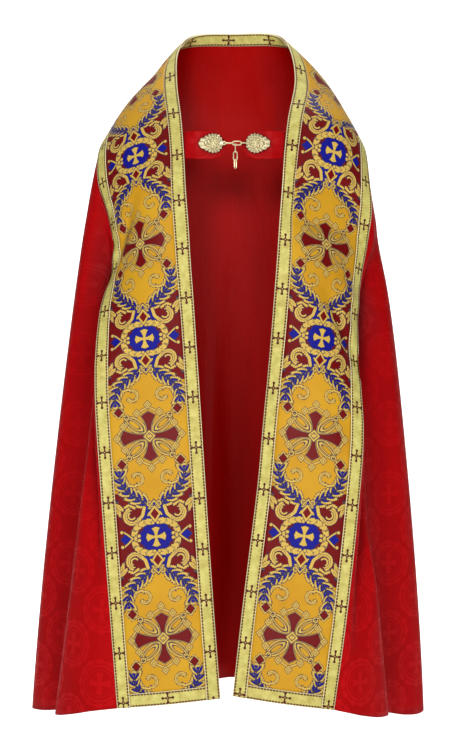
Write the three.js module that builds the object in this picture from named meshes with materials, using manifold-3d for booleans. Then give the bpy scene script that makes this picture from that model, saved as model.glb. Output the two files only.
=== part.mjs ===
// A cope: a long open liturgical cloak of red damask, worn over the shoulders, lined in red satin, with a
// brocade orphrey edged in galloon down both fronts and round the neck, and a chain clasp on two cloth tabs.
// Millimetres. +Z is up, the front faces -Y, +X is the wearer's left. The origin is midway between the two
// points where the neck edge rests on the shoulders.
import * as THREE from "three";
import { mergeVertices } from "three/addons/utils/BufferGeometryUtils.js";
import Module from "manifold-3d";

const wasm = await Module();
wasm.setup();

// ---------------------------------------------------------------- driving dimensions
const GALLOON = 28; // width of the woven edging
const ORPHREY = 214; // brocade with its two galloons, across the cloth
const CLOTH = 1.5; // damask wall
const BROCADE = 2.0; // brocade wall, with its interlining
const RIBBON = 2.4; // galloon wall, standing a little above the brocade
const LINING = 1.0;
const LINING_GAP = 0.5; // between the outer cloth and the lining
const SEAM = 0.3; // clearance between neighbouring pieces
const LINING_INSET = 1; // the lining stops this far inside every edge
const FACING = 1.2; // the galloon turned to the inside of the neck
const NECK_FROM = 1440; // where along each front that galloon begins

// One row for each section of a front, at a distance up its edge from the hem. edge is the free edge of the
// orphrey, and outer its other edge, where the red cloth begins. The last row is the centre back of the neck.
const SECTIONS = {
  left: [
    { at: 0, edgeX: -28, edgeY: -280, edgeZ: -1378, outerX: -237, outerY: -275, outerZ: -1399 },
    { at: 200, edgeX: -43, edgeY: -271, edgeZ: -1179, outerX: -253, outerY: -267, outerZ: -1201 },
    { at: 430, edgeX: -58, edgeY: -250, edgeZ: -951, outerX: -272, outerY: -246, outerZ: -972 },
    { at: 660, edgeX: -73, edgeY: -225, edgeZ: -722, outerX: -288, outerY: -208, outerZ: -742 },
    { at: 820, edgeX: -84, edgeY: -205, edgeZ: -564, outerX: -282, outerY: -148, outerZ: -595 },
    { at: 900, edgeX: -90, edgeY: -194, edgeZ: -485, outerX: -266, outerY: -106, outerZ: -520 },
    { at: 980, edgeX: -95, edgeY: -180, edgeZ: -406, outerX: -256, outerY: -84, outerZ: -448 },
    { at: 1060, edgeX: -101, edgeY: -163, edgeZ: -328, outerX: -269, outerY: -70, outerZ: -372 },
    { at: 1140, edgeX: -105, edgeY: -141, edgeZ: -252, outerX: -290, outerY: -62, outerZ: -306 },
    { at: 1220, edgeX: -111, edgeY: -109, edgeZ: -180, outerX: -292, outerY: -32, outerZ: -241 },
    { at: 1330, edgeX: -122, edgeY: -52, edgeZ: -85, outerX: -272, outerY: 36, outerZ: -188 },
    { at: 1420, edgeX: -119, edgeY: -1, edgeZ: -12, outerX: -232, outerY: 107, outerZ: -154 },
    { at: 1510, edgeX: -87, edgeY: 66, edgeZ: 34, outerX: -126, outerY: 140, outerZ: -158 },
    { at: 1598, edgeX: 0, edgeY: 80, edgeZ: 41, outerX: 0, outerY: 150, outerZ: -160 },
  ],
  right: [
    { at: 0, edgeX: -2, edgeY: -280, edgeZ: -1373, outerX: 203, outerY: -275, outerZ: -1402 },
    { at: 200, edgeX: 20, edgeY: -269, edgeZ: -1175, outerX: 231, outerY: -268, outerZ: -1204 },
    { at: 430, edgeX: 49, edgeY: -246, edgeZ: -948, outerX: 257, outerY: -243, outerZ: -973 },
    { at: 560, edgeX: 61, edgeY: -231, edgeZ: -819, outerX: 267, outerY: -222, outerZ: -846 },
    { at: 660, edgeX: 71, edgeY: -218, edgeZ: -720, outerX: 264, outerY: -190, outerZ: -750 },
    { at: 740, edgeX: 78, edgeY: -208, edgeZ: -641, outerX: 261, outerY: -158, outerZ: -674 },
    { at: 820, edgeX: 84, edgeY: -198, edgeZ: -562, outerX: 261, outerY: -128, outerZ: -597 },
    { at: 900, edgeX: 90, edgeY: -188, edgeZ: -483, outerX: 269, outerY: -104, outerZ: -520 },
    { at: 980, edgeX: 95, edgeY: -177, edgeZ: -403, outerX: 284, outerY: -88, outerZ: -444 },
    { at: 1060, edgeX: 101, edgeY: -161, edgeZ: -326, outerX: 295, outerY: -78, outerZ: -370 },
    { at: 1140, edgeX: 107, edgeY: -142, edgeZ: -249, outerX: 291, outerY: -60, outerZ: -298 },
    { at: 1220, edgeX: 116, edgeY: -110, edgeZ: -176, outerX: 283, outerY: -30, outerZ: -228 },
    { at: 1330, edgeX: 132, edgeY: -50, edgeZ: -84, outerX: 262, outerY: 49, outerZ: -192 },
    { at: 1420, edgeX: 122, edgeY: -3, edgeZ: -9, outerX: 225, outerY: 104, outerZ: -150 },
    { at: 1510, edgeX: 92, edgeY: 64, edgeZ: 36, outerX: 124, outerY: 140, outerZ: -158 },
    { at: 1598, edgeX: 0, edgeY: 80, edgeZ: 41, outerX: 0, outerY: 150, outerZ: -160 },
  ],
};

// The hem of the red cloth, one row for each turn it takes, from the orphrey's corner to the centre back. at is
// the section of the front from which the cloth falls straight to that point.
const HEM = {
  left: [
    { at: 0, x: -237, y: -275, z: -1399 },
    { at: 180, x: -290, y: -262, z: -1407 },
    { at: 340, x: -326, y: -236, z: -1417 },
    { at: 500, x: -360, y: -198, z: -1427 },
    { at: 640, x: -373, y: -166, z: -1430 },
    { at: 740, x: -356, y: -128, z: -1430 },
    { at: 830, x: -350, y: -98, z: -1432 },
    { at: 940, x: -380, y: -66, z: -1440 },
    { at: 1060, x: -417, y: -30, z: -1447 },
    { at: 1180, x: -441, y: 20, z: -1450 },
    { at: 1260, x: -432, y: 88, z: -1449 },
    { at: 1350, x: -372, y: 170, z: -1440 },
    { at: 1440, x: -262, y: 225, z: -1430 },
    { at: 1520, x: -135, y: 252, z: -1425 },
    { at: 1598, x: 0, y: 258, z: -1423 },
  ],
  right: [
    { at: 0, x: 203, y: -275, z: -1402 },
    { at: 150, x: 236, y: -263, z: -1411 },
    { at: 300, x: 264, y: -244, z: -1420 },
    { at: 430, x: 301, y: -206, z: -1430 },
    { at: 540, x: 323, y: -168, z: -1432 },
    { at: 650, x: 309, y: -134, z: -1434 },
    { at: 750, x: 304, y: -104, z: -1437 },
    { at: 870, x: 334, y: -62, z: -1447 },
    { at: 980, x: 367, y: -30, z: -1457 },
    { at: 1080, x: 399, y: -2, z: -1461 },
    { at: 1180, x: 418, y: 32, z: -1458 },
    { at: 1260, x: 412, y: 92, z: -1454 },
    { at: 1350, x: 358, y: 170, z: -1443 },
    { at: 1440, x: 254, y: 225, z: -1432 },
    { at: 1520, x: 132, y: 252, z: -1426 },
    { at: 1598, x: 0, y: 258, z: -1423 },
  ],
};

// The folds behind, one row each: where it falls from, its half width there, and how deep it is at the hem.
const FOLDS = {
  left: [
    { at: 1268, half: 36, depth: 44 },
    { at: 1345, half: 38, depth: 56 },
    { at: 1424, half: 36, depth: 40 },
    { at: 1498, half: 34, depth: 50 },
    { at: 1566, half: 31, depth: 34 },
  ],
  right: [
    { at: 1272, half: 38, depth: 52 },
    { at: 1352, half: 37, depth: 42 },
    { at: 1428, half: 36, depth: 54 },
    { at: 1505, half: 38, depth: 38 },
  ],
};
const FOLD_START = 0.08; // share of the fall at which the folds begin to open

// How far the cloth stands out over each arm and over the back. rise is the share of the fall in which it comes
// out, and the higher ease is, the later it starts to.
const SWELL = {
  left: { depth: 16.5, rise: 0.12, ease: 1 },
  right: { depth: 21, rise: 0.2, ease: 2 },
  back: { depth: 22, rise: 0.15, ease: 1 },
};

// Where the grid's lines cross a front, close together where the cloth turns, then even up to the centre back.
const FRONT_STATIONS = [0, GALLOON, 130, 250, 360, 460, 550, 630, 690, 745, 800, 850, 900, 950, 1000, 1060, 1120, 1180];
const BACK_STATIONS = 21;
const BROCADE_COLUMNS = 3;
const FALL_ROWS = [0.045, 0.12, 0.25, 0.42, 0.6, 0.8, 1]; // shares of the fall from orphrey to hem

const CLASP = {
  z: -230, // height of the chain's axis
  chainY: -134.6,
  tabY: -128, // middle of the tabs' thickness
  tabHeight: 60,
  tabWall: 2.4,
  tabRoot: 22, // how far each tab runs in behind the edge it is sewn to
  leftTip: -16,
  rightTip: 18,
  leftPlateX: -43,
  rightPlateX: 46,
  plateRadius: 18,
  plateLobe: 8.5, // how far the pointed end stands out beyond the radius
  plateTeeth: 17,
  toothDepth: 1.2,
  plateWall: 3.2,
  wire: 1.15, // radius
  linkLength: 21.5,
  linkWidth: 10,
  tailX: 3.4, // where the loose end hangs
};

// ---------------------------------------------------------------- small helpers
const mix = THREE.MathUtils.lerp;
const radians = THREE.MathUtils.degToRad;
const vector = (x, y, z) => new THREE.Vector3(x, y, z);

function smooth(from, to, x) {
  const u = THREE.MathUtils.clamp((x - from) / (to - from), 0, 1);
  return u * u * (3 - 2 * u);
}

// A smooth curve through one column of a table, with the slope at each row that of its two neighbours.
function track(rows, column) {
  const slope = rows.map((_, i) => {
    const [before, after] = [rows[Math.max(i - 1, 0)], rows[Math.min(i + 1, rows.length - 1)]];
    return (after[column] - before[column]) / (after.at - before.at);
  });
  return (at) => {
    const i = Math.max(0, Math.min(rows.length - 2, rows.findIndex((row) => row.at > at) - 1));
    const last = at >= rows[rows.length - 1].at ? rows.length - 2 : i;
    const step = rows[last + 1].at - rows[last].at;
    const u = THREE.MathUtils.clamp((at - rows[last].at) / step, 0, 1);
    const v = 1 - u;
    const rise = rows[last][column] * v * v * (1 + 2 * u) + rows[last + 1][column] * u * u * (3 - 2 * u);
    return rise + step * u * v * (slope[last] * v - slope[last + 1] * u);
  };
}

// Three columns as one path, which runs on past the centre back as its mirror image.
function trackPoint(rows, x, y, z) {
  const last = rows.at(-1).at;
  const mirrored = rows.slice(-3, -1).reverse().map((row) => ({ ...row, at: 2 * last - row.at, [x]: -row[x] }));
  const [trackX, trackY, trackZ] = [x, y, z].map((column) => track([...rows, ...mirrored], column));
  return (at) => vector(trackX(at), trackY(at), trackZ(at));
}

// ---------------------------------------------------------------- the cloth as one surface
const SIDES = ["left", "right"];
const TOP = SECTIONS.left.at(-1).at;
const edgeAt = {};
const outerAt = {};
const hemAt = {};
for (const side of SIDES) {
  edgeAt[side] = trackPoint(SECTIONS[side], "edgeX", "edgeY", "edgeZ");
  outerAt[side] = trackPoint(SECTIONS[side], "outerX", "outerY", "outerZ");
  hemAt[side] = trackPoint(HEM[side], "x", "y", "z");
}

// Across the orphrey, with share from 0 at the free edge to 1 at the outer one. Its width is fixed, so where the
// two edges come closer than that the cloth stands out between them.
function acrossOrphrey(side, at, share) {
  const edge = edgeAt[side](at);
  const outer = outerAt[side](at);
  const chord = edge.distanceTo(outer);
  const crown = Math.sqrt(Math.max(0.375 * chord * (ORPHREY - chord), 9));
  const upwards = edgeAt[side](at + 20).sub(edgeAt[side](at - 20));
  const across = outer.clone().sub(edge);
  const out = side === "left" ? upwards.cross(across) : across.clone().cross(upwards);
  return edge.lerp(outer, share).addScaledVector(out.normalize(), crown * 4 * share * (1 - share));
}

function swellAt(where, share) {
  const { depth, rise, ease } = SWELL[where];
  return depth * (1 - share ** 4) * (1 - Math.exp(-((share / rise) ** ease)));
}

// Down the red cloth, with share from 0 at the orphrey to 1 at the hem.
function downCloth(side, at, share) {
  const start = outerAt[side](at);
  const end = hemAt[side](at);
  const place = start.lerp(end, share);
  const along = hemAt[side](at + 15).sub(hemAt[side](at - 15));
  const out = vector(along.y, -along.x, 0).multiplyScalar(side === "left" ? -1 : 1).normalize();
  const round = vector(place.x, place.y + 20, 0).normalize();
  const swell = mix(swellAt(side, share), swellAt("back", share), smooth(1200, TOP, at));
  place.addScaledVector(round, swell * smooth(820, 1200, at));
  for (const fold of FOLDS[side]) {
    const away = Math.min(1, Math.abs(at - fold.at) / fold.half);
    const bump = 0.5 + 0.5 * Math.cos(Math.PI * away);
    place.addScaledVector(out, -fold.depth * bump * smooth(FOLD_START, 1.25, share) * 1.12);
  }
  return place;
}

// ---------------------------------------------------------------- one grid for each half
// Rows run up the front from the hem to the centre back, and columns from the free edge across the orphrey and
// down the cloth. Pieces are cut from these two grids, so neighbours share their corners exactly.
const COLUMNS = BROCADE_COLUMNS + 2;
const orphreyShares = [0];
for (let i = 0; i <= BROCADE_COLUMNS; i++) {
  orphreyShares.push(mix(GALLOON, ORPHREY - GALLOON, i / BROCADE_COLUMNS) / ORPHREY);
}
orphreyShares.push(1);

const lastFront = FRONT_STATIONS.at(-1);
const stations = [...FRONT_STATIONS];
for (let i = 1; i <= BACK_STATIONS; i++) stations.push(mix(lastFront, TOP, i / BACK_STATIONS));
const ROWS = stations.length - 1;
const LAST_COLUMN = COLUMNS + FALL_ROWS.length;

const corners = new Map();
function cornerAt(point) {
  const key = point.toArray().map((value) => Math.round(value * 50)).join();
  if (!corners.has(key)) corners.set(key, { point, normal: vector(0, 0, 0) });
  return corners.get(key);
}

const grids = Object.fromEntries(
  SIDES.map((side) => [
    side,
    stations.map((at) => [
      ...orphreyShares.map((share) => cornerAt(acrossOrphrey(side, at, share))),
      ...FALL_ROWS.map((share) => cornerAt(downCloth(side, at, at === 0 ? 0 : share))),
    ]),
  ]),
);

// ---------------------------------------------------------------- walls of cloth
// The two triangles of each cell of one side's grid between the given rows and columns, facing outwards.
function cells(side, [row0, row1], [column0, column1]) {
  const grid = grids[side];
  const found = [];
  for (let r = row0; r < row1; r++) {
    for (let c = column0; c < column1; c++) {
      const [a, b, d, e] = [grid[r][c], grid[r][c + 1], grid[r + 1][c + 1], grid[r + 1][c]];
      found.push(...(side === "left" ? [[a, e, d], [a, d, b]] : [[a, d, e], [a, b, d]]));
    }
  }
  return found.filter(([a, b, c]) => a !== b && b !== c && c !== a);
}

const faceNormal = (a, b, c) => b.point.clone().sub(a.point).cross(c.point.clone().sub(a.point));

for (const side of SIDES) {
  for (const [a, b, c] of cells(side, [0, ROWS], [0, LAST_COLUMN])) {
    const face = faceNormal(a, b, c);
    for (const corner of [a, b, c]) corner.normal.add(face);
  }
}
for (const corner of corners.values()) corner.normal.normalize();

// Half of a corner cell at the hem, cut from its inner corner to its outer one, for a mitre.
function mitreHalf(side, column, outerColumn, belongsToHem) {
  const [lower, upper] = grids[side];
  const third = belongsToHem ? lower[column] : upper[outerColumn];
  const [a, b, c] = [upper[column], lower[outerColumn], third];
  return [faceNormal(a, b, c).dot(a.normal) < 0 ? [a, c, b] : [a, b, c]];
}

// A closed wall over the triangles, from one distance off the surface to another, with its edges drawn in.
function wall(triangles, from, to, inset = SEAM / 2) {
  const used = new Map();
  const indexed = triangles.map((triangle) =>
    triangle.map((corner) => {
      if (!used.has(corner)) used.set(corner, { ...corner, index: used.size, shifts: [] });
      return used.get(corner);
    }),
  );
  const edges = new Map();
  for (const [a, b, c] of indexed) {
    for (const [from_, to_] of [[a, b], [b, c], [c, a]]) edges.set(`${from_.index}>${to_.index}`, [from_, to_]);
  }
  const rim = [...edges.values()].filter(([a, b]) => !edges.has(`${b.index}>${a.index}`));
  for (const [a, b] of rim) {
    const along = new THREE.Vector3().subVectors(b.point, a.point).normalize();
    for (const end of [a, b]) end.shifts.push(new THREE.Vector3().crossVectors(end.normal, along).normalize());
  }
  const positions = [];
  const all = [...used.values()];
  for (const distance of [to, from]) {
    for (const { point, normal, shifts } of all) {
      const place = point.clone().addScaledVector(normal, distance);
      if (shifts.length === 2) {
        const mitre = shifts[0].clone().add(shifts[1]);
        place.addScaledVector(mitre, inset / Math.max(1 + shifts[0].dot(shifts[1]), 0.3));
      }
      positions.push(place.x, place.y, place.z);
    }
  }
  const n = all.length;
  const faces = [];
  for (const [a, b, c] of indexed) {
    faces.push(a.index, b.index, c.index, n + a.index, n + c.index, n + b.index);
  }
  for (const [a, b] of rim) {
    faces.push(a.index, n + a.index, b.index, b.index, n + a.index, n + b.index);
  }
  const geometry = new THREE.BufferGeometry();
  geometry.setAttribute("position", new THREE.Float32BufferAttribute(positions, 3));
  geometry.setIndex(faces);
  geometry.computeVertexNormals();
  return geometry;
}

// ---------------------------------------------------------------- materials and the group
const finish = (color, roughness, metalness = 0) =>
  new THREE.MeshStandardMaterial({ color, roughness, metalness, side: THREE.DoubleSide });
const damask = finish(0xb01016, 0.55);
const satin = finish(0x860705, 0.5);
const brocade = finish(0xd2a63a, 0.45, 0.15);
const galloon = finish(0xd8cb74, 0.4, 0.15);
const oldGold = finish(0xcfc088, 0.35, 0.9);

const cope = new THREE.Group();
cope.name = "cope";
function add(name, geometry, material) {
  const mesh = new THREE.Mesh(geometry, material);
  mesh.name = name;
  cope.add(mesh);
  return mesh;
}

// ---------------------------------------------------------------- the cloth pieces
const onBothSides = (rows, columns) => SIDES.flatMap((side) => cells(side, rows, columns));
add("body", wall(onBothSides([0, ROWS], [COLUMNS, LAST_COLUMN]), 0, CLOTH), damask);

const LAST = COLUMNS - 1;
for (const side of SIDES) {
  add(`orphrey_${side}`, wall(cells(side, [1, ROWS], [1, LAST]), 0, BROCADE), brocade);
  const edge = [...cells(side, [1, ROWS], [0, 1]), ...mitreHalf(side, 1, 0, false)];
  add(`galloon_edge_${side}`, wall(edge, 0, RIBBON), galloon);
  const outer = [...cells(side, [1, ROWS], [LAST, COLUMNS]), ...mitreHalf(side, LAST, COLUMNS, false)];
  add(`galloon_outer_${side}`, wall(outer, 0, RIBBON), galloon);
  const hem = [
    ...cells(side, [0, 1], [1, LAST]),
    ...mitreHalf(side, 1, 0, true),
    ...mitreHalf(side, LAST, COLUMNS, true),
  ];
  add(`galloon_hem_${side}`, wall(hem, 0, RIBBON), galloon);
}

const liningFace = -LINING_GAP;
const inside = onBothSides([0, ROWS], [0, LAST_COLUMN]);
add("lining", wall(inside, liningFace - LINING, liningFace, LINING_INSET), satin);

// The galloon turned to the inside of the neck, from one shoulder to the other.
const neckRow = stations.findIndex((at) => at > NECK_FROM);
const facingFace = liningFace - LINING - SEAM;
add("neck_facing", wall(onBothSides([neckRow, ROWS], [0, 1]), facingFace - FACING, facingFace), galloon);

// ---------------------------------------------------------------- solids that are joined
function solidOf(geometry) {
  const plain = geometry.clone();
  for (const name of Object.keys(plain.attributes)) if (name !== "position") plain.deleteAttribute(name);
  const merged = mergeVertices(plain, 1e-4);
  return new wasm.Manifold(
    new wasm.Mesh({
      numProp: 3,
      vertProperties: new Float32Array(merged.attributes.position.array),
      triVerts: new Uint32Array(merged.index.array),
    }),
  );
}

function joined(...geometries) {
  const mesh = geometries.map(solidOf).reduce((whole, next) => whole.add(next)).getMesh();
  const geometry = new THREE.BufferGeometry();
  geometry.setAttribute("position", new THREE.BufferAttribute(new Float32Array(mesh.vertProperties), 3));
  geometry.setIndex(new THREE.BufferAttribute(new Uint32Array(mesh.triVerts), 1));
  geometry.computeVertexNormals();
  return geometry;
}

// Stands a flat shape, drawn in X and Z, upright with its face towards the front.
const upright = (shape, depth, frontY) => {
  const solid = new THREE.ExtrudeGeometry(shape, { depth, bevelEnabled: false, curveSegments: 10 });
  return solid.rotateX(Math.PI / 2).translate(0, frontY + depth, 0);
};

// ---------------------------------------------------------------- the clasp's tabs
// A tongue of cloth from the inside of the edge, which it follows at its root, straight across to a round tip.
const TAB_COLUMNS = [-1, 0, 0.18, 0.36, 0.6, 0.75, 0.86, 0.94, 0.985, 1];
const TAB_ROWS = 5;
const TAB_ROOM = 1.4; // for the stitches behind the edge
const tabBehind = LINING_GAP + LINING + TAB_ROOM + CLASP.tabWall / 2;

// The section of the front at which its free edge has the given height.
function stationAtHeight(side, z) {
  let [low, high] = [0, TOP];
  while (high - low > 0.1) {
    const middle = (low + high) / 2;
    if (edgeAt[side](middle).z < z) low = middle;
    else high = middle;
  }
  return low;
}

// The cloth inside the edge at a height, across share of the galloon, and off it by a distance.
function behindGalloon(side, z, share, distance) {
  const at = stationAtHeight(side, z);
  const row = stations.findIndex((station) => station > at) - 1;
  const up = (at - stations[row]) / (stations[row + 1] - stations[row]);
  const moved = ([r, c]) => grids[side][r][c].point.clone().addScaledVector(grids[side][r][c].normal, -distance);
  const inner = moved([row, 0]).lerp(moved([row + 1, 0]), up);
  return inner.lerp(moved([row, 1]).lerp(moved([row + 1, 1]), up), share);
}

function tabPoint(side, tip, u, v) {
  const half = CLASP.tabHeight / 2;
  const roundness = Math.sqrt(1 - Math.max(0, (u - 0.6) / 0.4) ** 2.4);
  const z = CLASP.z - 3 + half * v * Math.max(roundness, 0.15);
  const here = behindGalloon(side, z, Math.max(0, -u) * (CLASP.tabRoot / GALLOON), tabBehind);
  return u <= 0 ? here : vector(mix(here.x, tip, u), mix(here.y, CLASP.tabY, smooth(0, 0.34, u)), z);
}

for (const [side, tip] of [["left", CLASP.leftTip], ["right", CLASP.rightTip]]) {
  const grid = Array.from({ length: TAB_ROWS + 1 }, (_, r) =>
    TAB_COLUMNS.map((u) => ({ point: tabPoint(side, tip, u, (2 * r) / TAB_ROWS - 1), normal: vector(0, -1, 0) })),
  );
  const faces = [];
  for (let r = 0; r < TAB_ROWS; r++) {
    for (let c = 0; c < TAB_COLUMNS.length - 1; c++) {
      const [a, b, d, e] = [grid[r][c], grid[r][c + 1], grid[r + 1][c + 1], grid[r + 1][c]];
      faces.push(...(side === "left" ? [[a, b, d], [a, d, e]] : [[a, d, b], [a, e, d]]));
    }
  }
  add(`tab_${side}`, wall(faces, -CLASP.tabWall / 2, CLASP.tabWall / 2, 0), damask);
}

// ---------------------------------------------------------------- the clasp's metal
// A cast plate: a toothed round outline with one pointed end, and a low dome on its face.
function plate(centreX, pointing) {
  const shape = new THREE.Shape();
  const points = CLASP.plateTeeth * 4;
  for (let i = 0; i < points; i++) {
    const angle = (2 * Math.PI * i) / points;
    const point = Math.max(0, pointing * Math.cos(angle)) ** 7;
    const tooth = CLASP.toothDepth * Math.cos(CLASP.plateTeeth * angle);
    const radius = CLASP.plateRadius + CLASP.plateLobe * point + tooth * (1 - point);
    shape[i ? "lineTo" : "moveTo"](radius * Math.cos(angle), radius * Math.sin(angle));
  }
  shape.closePath();
  const faceY = CLASP.tabY - CLASP.tabWall / 2 - SEAM - CLASP.plateWall;
  const base = upright(shape, CLASP.plateWall, faceY);
  const rim = CLASP.plateRadius * 0.72;
  const profile = [[0, -0.5], [rim, -0.5], [rim, 0.4], [rim * 0.75, 1.9], [rim * 0.4, 2.9], [0, 3.2]];
  const dome = new THREE.LatheGeometry(profile.map(([r, h]) => new THREE.Vector2(r, h)), 24);
  dome.rotateX(Math.PI).translate(0, faceY, 0);
  return [base, dome].map((piece) => piece.translate(centreX, 0, CLASP.z));
}

const roundSection = (radius, sides) => {
  const shape = new THREE.Shape();
  for (let i = 0; i < sides; i++) {
    const angle = (2 * Math.PI * i) / sides;
    shape[i ? "lineTo" : "moveTo"](radius * Math.cos(angle), radius * Math.sin(angle));
  }
  return shape.closePath();
};

// A closed loop of wire in the plane of X and Z: two straight sides and two round ends.
class LinkPath extends THREE.Curve {
  constructor(length, width) {
    super();
    this.straight = length - width;
    this.radius = width / 2 - CLASP.wire;
  }

  getPoint(share, target = new THREE.Vector3()) {
    const arc = Math.PI * this.radius;
    const whole = 2 * (this.straight + arc);
    let at = (share % 1) * whole;
    const half = this.straight / 2;
    if (at < this.straight) return target.set(this.radius, 0, -half + at);
    at -= this.straight;
    if (at < arc) {
      const angle = at / this.radius;
      return target.set(this.radius * Math.cos(angle), 0, half + this.radius * Math.sin(angle));
    }
    at -= arc;
    if (at < this.straight) return target.set(-this.radius, 0, half - at);
    const angle = Math.PI + (at - this.straight) / this.radius;
    return target.set(this.radius * Math.cos(angle), 0, -half + this.radius * Math.sin(angle));
  }
}

// Sweeps a round wire round a flat closed path; rings of corners are joined first to last.
function loopOfWire(path, steps, sides) {
  const positions = [];
  const faces = [];
  for (let i = 0; i < steps; i++) {
    const centre = path.getPoint(i / steps);
    const tangent = path.getPoint(i / steps + 1e-3).sub(path.getPoint((i / steps + 1 - 1e-3) % 1)).normalize();
    const across = new THREE.Vector3(0, 1, 0);
    const away = new THREE.Vector3().crossVectors(across, tangent);
    for (let k = 0; k < sides; k++) {
      const angle = (2 * Math.PI * k) / sides;
      const place = centre.clone().addScaledVector(away, CLASP.wire * Math.cos(angle));
      place.addScaledVector(across, CLASP.wire * Math.sin(angle));
      positions.push(place.x, place.y, place.z);
      const [a, b] = [i * sides + k, i * sides + ((k + 1) % sides)];
      const next = ((i + 1) % steps) * sides;
      const [c, d] = [next + k, next + ((k + 1) % sides)];
      faces.push(a, b, c, b, d, c);
    }
  }
  const geometry = new THREE.BufferGeometry();
  geometry.setAttribute("position", new THREE.Float32BufferAttribute(positions, 3));
  geometry.setIndex(faces);
  geometry.computeVertexNormals();
  return geometry;
}

const link = () => loopOfWire(new LinkPath(CLASP.linkLength, CLASP.linkWidth), 28, 8);
const hold = 2 * CLASP.wire + SEAM; // between the middles of two wires that pull on each other
const span = CLASP.linkLength - 2 * CLASP.wire; // between the middles of a link's two end wires

// The taut part: an eye on the left plate, a link lying flat, a link facing the front, and the right
// plate's hook.
const barLink = { x: CLASP.tailX + 3.35, y: CLASP.chainY, z: CLASP.z };
add("link_front", link().rotateY(Math.PI / 2).translate(barLink.x, barLink.y, barLink.z), oldGold);
const flatX = barLink.x - span + hold;
const lyingFlat = link().rotateZ(Math.PI / 2).rotateY(Math.PI / 2);
add("link_flat", lyingFlat.translate(flatX, barLink.y, barLink.z), oldGold);

const eyeRadius = 4.2;
const eyeX = flatX - span / 2 + hold - (eyeRadius - CLASP.wire);
const eyePath = new LinkPath(2 * eyeRadius, 2 * eyeRadius - 0.02);
const eye = loopOfWire(eyePath, 16, 8).translate(eyeX, CLASP.chainY, CLASP.z);
const neck = new THREE.BoxGeometry(6, 3, 4).translate(eyeX - eyeRadius - 1.5, CLASP.chainY + 1, CLASP.z);
add("clasp_plate_left", joined(...plate(CLASP.leftPlateX, -1), eye, neck), oldGold);

const hookX = barLink.x + span / 2;
const hookPath = new THREE.CatmullRomCurve3(
  [
    [16, 1.2],
    [10, -2.8],
    [4, -4.2],
    [-0.6, -3.4],
    [-2.65, 0],
    [-1.3, 3.1],
    [0.6, 3.9],
  ].map(([x, y]) => new THREE.Vector3(hookX + x, CLASP.chainY + y, CLASP.z)),
);
const hook = new THREE.ExtrudeGeometry(roundSection(CLASP.wire, 8), {
  steps: 22,
  bevelEnabled: false,
  extrudePath: hookPath,
});
add("clasp_plate_right", joined(...plate(CLASP.rightPlateX, 1), hook), oldGold);

// The loose tail: three links that hang from the link facing the front, each turned from the last.
const firstTop = CLASP.z - (CLASP.linkWidth / 2 - CLASP.wire) + hold;
const tailTurns = [Math.PI / 2, 0, radians(58)];
tailTurns.forEach((turn, i) => {
  const top = firstTop - i * (span - hold);
  add(`tail_link_${i + 1}`, link().rotateZ(turn).translate(CLASP.tailX, CLASP.chainY, top - span / 2), oldGold);
});

export default cope;
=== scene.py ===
# %% [markdown]
# # A cope
# A cope is a long open cloak worn over other vestments. This one is red damask, lined in red satin. A brocade
# band, the orphrey, runs down both fronts and round the neck, edged on every side with a woven ribbon called
# galloon, and a chain clasp on two cloth tabs holds it at the chest. The lesson starts from the measured frame
# and dresses each of its pieces.

import bmesh
import bpy
import numpy as np
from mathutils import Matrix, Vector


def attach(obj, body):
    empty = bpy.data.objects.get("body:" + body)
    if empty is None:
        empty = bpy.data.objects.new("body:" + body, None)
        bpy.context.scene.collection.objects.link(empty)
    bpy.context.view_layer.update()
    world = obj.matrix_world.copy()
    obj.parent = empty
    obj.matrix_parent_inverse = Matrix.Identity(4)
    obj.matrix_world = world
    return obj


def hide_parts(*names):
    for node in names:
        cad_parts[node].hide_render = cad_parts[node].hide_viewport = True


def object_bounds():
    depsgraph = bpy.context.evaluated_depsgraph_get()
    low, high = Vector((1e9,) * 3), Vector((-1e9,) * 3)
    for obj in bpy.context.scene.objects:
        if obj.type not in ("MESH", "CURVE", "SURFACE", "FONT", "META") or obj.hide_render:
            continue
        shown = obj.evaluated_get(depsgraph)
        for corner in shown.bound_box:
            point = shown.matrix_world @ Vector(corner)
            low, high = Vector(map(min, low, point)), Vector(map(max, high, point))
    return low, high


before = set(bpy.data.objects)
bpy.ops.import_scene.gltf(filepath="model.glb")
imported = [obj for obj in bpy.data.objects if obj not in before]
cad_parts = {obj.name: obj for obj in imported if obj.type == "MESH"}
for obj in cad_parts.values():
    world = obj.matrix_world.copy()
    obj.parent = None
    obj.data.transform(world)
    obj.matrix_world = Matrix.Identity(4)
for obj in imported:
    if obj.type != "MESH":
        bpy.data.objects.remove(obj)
cad_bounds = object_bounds()

# %% [markdown]
# ## Camera, floor and light
# The cloak hangs at its wearer's shoulders, so the origin is at the neck and the hem is a metre and a half lower.
# The camera stands four metres off, level with the middle of the cloak, and looks straight at its front.

# %% Camera
MM = 0.001
CAMERA_PLACE = (-0.0142, -4.0, -0.72)
camera_data = bpy.data.cameras.new("camera")
camera_data.lens = 87.8
camera_data.clip_end = 60
camera = bpy.data.objects.new("camera", camera_data)
camera.location = CAMERA_PLACE
camera.rotation_euler = (np.pi / 2, 0, 0)
bpy.context.scene.collection.objects.link(camera)
bpy.context.scene.camera = camera
print("camera", tuple(camera.location), "lens", camera_data.lens)

# %% [markdown]
# The floor and the wall behind are one white sheet that curves up, so no line shows where they meet.

# %% A profile swept along X


def add_mesh(name, points, faces, smooth=True):
    mesh = bpy.data.meshes.new(name)
    mesh.from_pydata(points.tolist(), [], faces.tolist())
    mesh.polygons.foreach_set("use_smooth", np.full(len(mesh.polygons), smooth))
    mesh.update()
    obj = bpy.data.objects.new(name, mesh)
    bpy.context.scene.collection.objects.link(obj)
    return obj


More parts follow.
